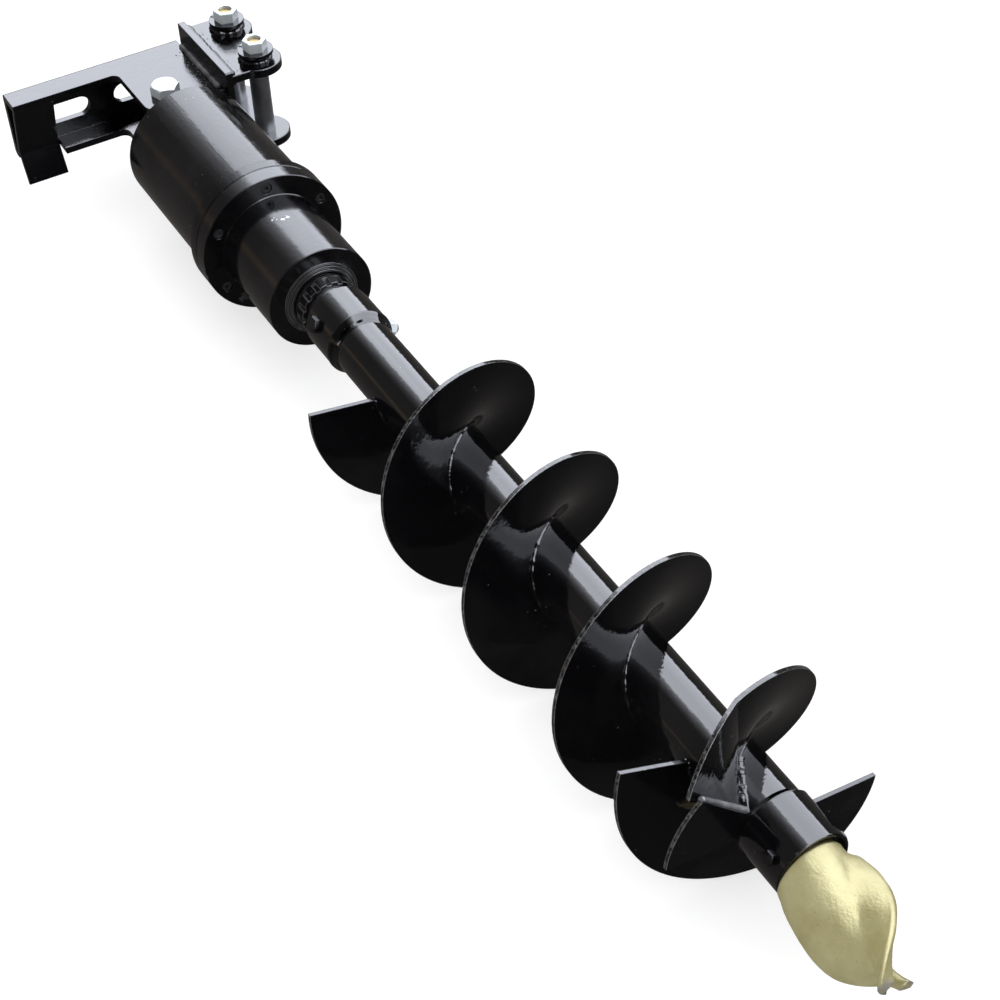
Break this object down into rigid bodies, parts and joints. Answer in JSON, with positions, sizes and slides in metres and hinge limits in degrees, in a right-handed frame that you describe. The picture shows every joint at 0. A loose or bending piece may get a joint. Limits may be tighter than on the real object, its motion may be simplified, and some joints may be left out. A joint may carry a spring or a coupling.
{
  "type": "hydraulic earth auger",
  "caption": "Hydraulic earth auger with a two-pin excavator hitch, a swinging motor and planetary gearbox in a steel hood, and a flighted auger with a cast pilot bit.",
  "frame": {"origin": "on the rear hitch pin's axis, level with the drive axis", "axes": "+X along the drive axis towards the pilot bit, +Z along the hitch pins and the swing pivot towards the pins' nuts, +Y from the drive axis towards the hitch pins"},
  "size_m": [1.771, 0.36, 0.25],
  "materials": {
    "black_paint": "gloss",
    "auger_paint": "gloss",
    "zinc": "bright zinc",
    "pin_steel": "satin",
    "ground_steel": "ground",
    "gear_steel": "machined",
    "screw_steel": "black oxide",
    "motor_iron": "painted casting",
    "bronze": "machined",
    "seal_rubber": "matte",
    "gold_casting": "metallic paint on a casting"
  },
  "bodies": {
    "hitch": {"hitch_channel": "black_paint", "cradle_stop": "black_paint", "head_plate": "black_paint", "upper_ear_plate": "black_paint", "lower_ear_plate": "black_paint", "pin_collars": "black_paint", "rear_hitch_pin": "pin_steel", "front_hitch_pin": "pin_steel", "pin_split_washers": "black_paint", "pin_lock_nuts": "zinc", "pivot_bolt": "zinc", "pivot_washer": "zinc", "pivot_lock_nut": "zinc"},
    "drive": {"swing_hanger": "black_paint", "pivot_bush": "bronze", "motor_hood": "black_paint", "motor_end_cover": "motor_iron", "port_adapters": "zinc", "gerotor_case": "motor_iron", "motor_body": "motor_iron", "motor_bolts": "screw_steel", "motor_shaft_bush": "bronze", "motor_shaft_seal": "seal_rubber", "ring_gear": "gear_steel", "nose_housing": "black_paint", "flange_screws": "screw_steel", "grease_nipple": "screw_steel", "bearing_outer_races": "ground_steel", "output_seal": "seal_rubber", "seal_retainer": "black_paint"},
    "output": {"planet_carrier": "gear_steel", "planet_pins": "ground_steel", "output_shaft": "gear_steel", "bearing_inner_races": "ground_steel", "shaft_spacer": "black_paint", "shaft_lock_nut": "black_paint", "coupler_sleeve": "auger_paint", "coupler_bolt": "black_paint", "coupler_nut": "zinc", "auger_tube": "auger_paint", "main_flight": "auger_paint", "second_flight": "auger_paint", "cutting_blades": "auger_paint", "tip_collar": "auger_paint", "tip_bolts": "black_paint", "pilot_bit": "gold_casting"},
    "sun_shaft": {"sun_gear_shaft": "gear_steel", "gerotor_inner_rotor": "ground_steel"},
    "gerotor_outer": {"gerotor_outer_rotor": "ground_steel"},
    "planet_1": {"planet_gear_1": "gear_steel"},
    "planet_2": {"planet_gear_2": "gear_steel"},
    "planet_3": {"planet_gear_3": "gear_steel"},
    "roller_sets": {"bearing_rollers": "ground_steel"}
  },
  "joints": [
    {"name": "swing", "type": "hinge", "parent": "hitch", "child": "drive", "pos_m": [0.064, -0.129, 0], "axis": [0, 0, 1], "range_deg": [-90, 2]},
    {"name": "auger_spin", "type": "hinge", "parent": "drive", "child": "output", "pos_m": [0.464, -0.129, 0], "axis": [1, 0, 0], "continuous": true},
    {"name": "sun_spin", "type": "hinge", "parent": "drive", "child": "sun_shaft", "pos_m": [0.264, -0.129, 0], "axis": [1, 0, 0], "continuous": true},
    {"name": "outer_rotor_spin", "type": "hinge", "parent": "drive", "child": "gerotor_outer", "pos_m": [0.196, -0.126, 0], "axis": [1, 0, 0], "continuous": true},
    {"name": "planet_1_spin", "type": "hinge", "parent": "output", "child": "planet_1", "pos_m": [0.304, -0.09187, 0], "axis": [1, 0, 0], "continuous": true},
    {"name": "planet_2_spin", "type": "hinge", "parent": "output", "child": "planet_2", "pos_m": [0.304, -0.14756, 0.03215], "axis": [1, 0, 0], "continuous": true},
    {"name": "planet_3_spin", "type": "hinge", "parent": "output", "child": "planet_3", "pos_m": [0.304, -0.14756, -0.03215], "axis": [1, 0, 0], "continuous": true},
    {"name": "roller_spin", "type": "hinge", "parent": "drive", "child": "roller_sets", "pos_m": [0.444, -0.129, 0], "axis": [1, 0, 0], "continuous": true}
  ],
  "couplings": [
    {"joint": "sun_spin", "follows": "auger_spin", "ratio": 4.4},
    {"joint": "outer_rotor_spin", "follows": "auger_spin", "ratio": 3.7714},
    {"joint": "planet_1_spin", "follows": "auger_spin", "ratio": -2.8333},
    {"joint": "planet_2_spin", "follows": "auger_spin", "ratio": -2.8333},
    {"joint": "planet_3_spin", "follows": "auger_spin", "ratio": -2.8333},
    {"joint": "roller_spin", "follows": "auger_spin", "ratio": 0.45652}
  ]
}
